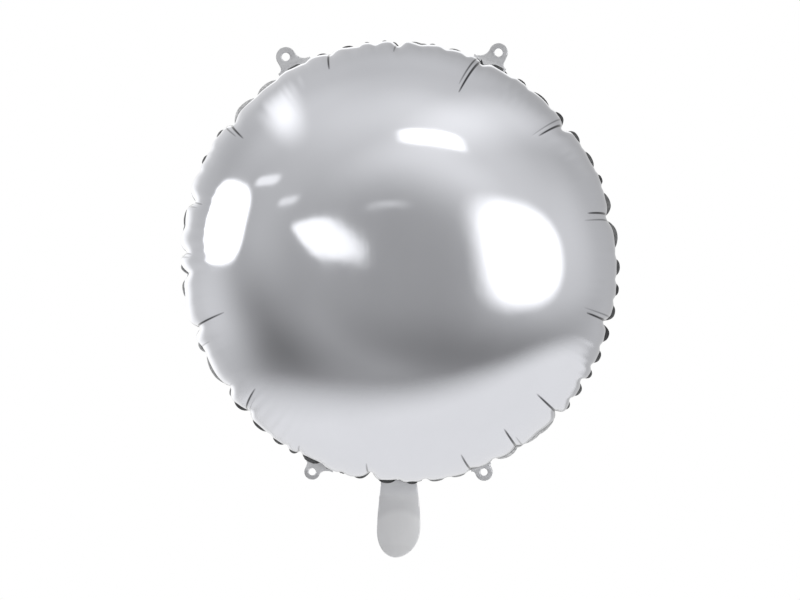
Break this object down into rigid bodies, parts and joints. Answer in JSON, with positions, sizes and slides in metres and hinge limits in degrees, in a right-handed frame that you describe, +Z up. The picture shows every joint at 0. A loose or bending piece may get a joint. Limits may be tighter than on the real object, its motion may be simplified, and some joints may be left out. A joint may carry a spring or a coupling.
{
  "type": "round foil balloon",
  "caption": "Round foil balloon, inflated: front and back film domes, puckered weld band, eyelet ears and a flat filling tail with a valve sleeve.",
  "frame": {"origin": "the middle of the gas space, on the weld plane, where the air around the balloon holds it up", "axes": "-Y out of the front face, +Y out of the back face, +Z up from the tail to the top of the rim, +X to the right as seen from the front"},
  "size_m": [0.3442, 0.2026, 0.4044],
  "materials": {
    "foil": "satin mirror, metallised film",
    "welded_foil": "metallised film, crimped by the weld",
    "tail_foil": "metallised film, flat and satin",
    "sleeve_film": "thin clear film"
  },
  "bodies": {
    "envelope": {"envelope_front": "foil", "envelope_back": "foil", "weld_band": "welded_foil"},
    "top_left_ear": {"ear_top_left": "welded_foil"},
    "top_right_ear": {"ear_top_right": "welded_foil"},
    "bottom_left_ear": {"ear_bottom_left": "welded_foil"},
    "bottom_right_ear": {"ear_bottom_right": "welded_foil"},
    "tail": {"tail_front_film": "tail_foil", "tail_back_film": "tail_foil", "valve_sleeve": "sleeve_film"}
  },
  "joints": [
    {"name": "tail_flex", "type": "hinge", "parent": "envelope", "child": "tail", "pos_m": [-0.0008, 0, -0.1743], "axis": [-1, 0, 0], "range_deg": [-100, 100]},
    {"name": "top_left_ear_flex", "type": "hinge", "parent": "envelope", "child": "top_left_ear", "pos_m": [-0.08504, 0, 0.15278], "axis": [0.8738, 0, 0.4863], "range_deg": [-90, 90], "stiffness_Nm_per_rad": 0.00005},
    {"name": "top_right_ear_flex", "type": "hinge", "parent": "envelope", "child": "top_right_ear", "pos_m": [0.0732, 0, 0.15555], "axis": [0.9048, 0, -0.4258], "range_deg": [-90, 90], "stiffness_Nm_per_rad": 0.00005},
    {"name": "bottom_left_ear_flex", "type": "hinge", "parent": "envelope", "child": "bottom_left_ear", "pos_m": [-0.0664, 0, -0.15874], "axis": [-0.9225, 0, 0.3859], "range_deg": [-90, 90], "stiffness_Nm_per_rad": 0.00005},
    {"name": "bottom_right_ear_flex", "type": "hinge", "parent": "envelope", "child": "bottom_right_ear", "pos_m": [0.06428, 0, -0.16071], "axis": [-0.9285, 0, -0.3714], "range_deg": [-90, 90], "stiffness_Nm_per_rad": 0.00005}
  ]
}
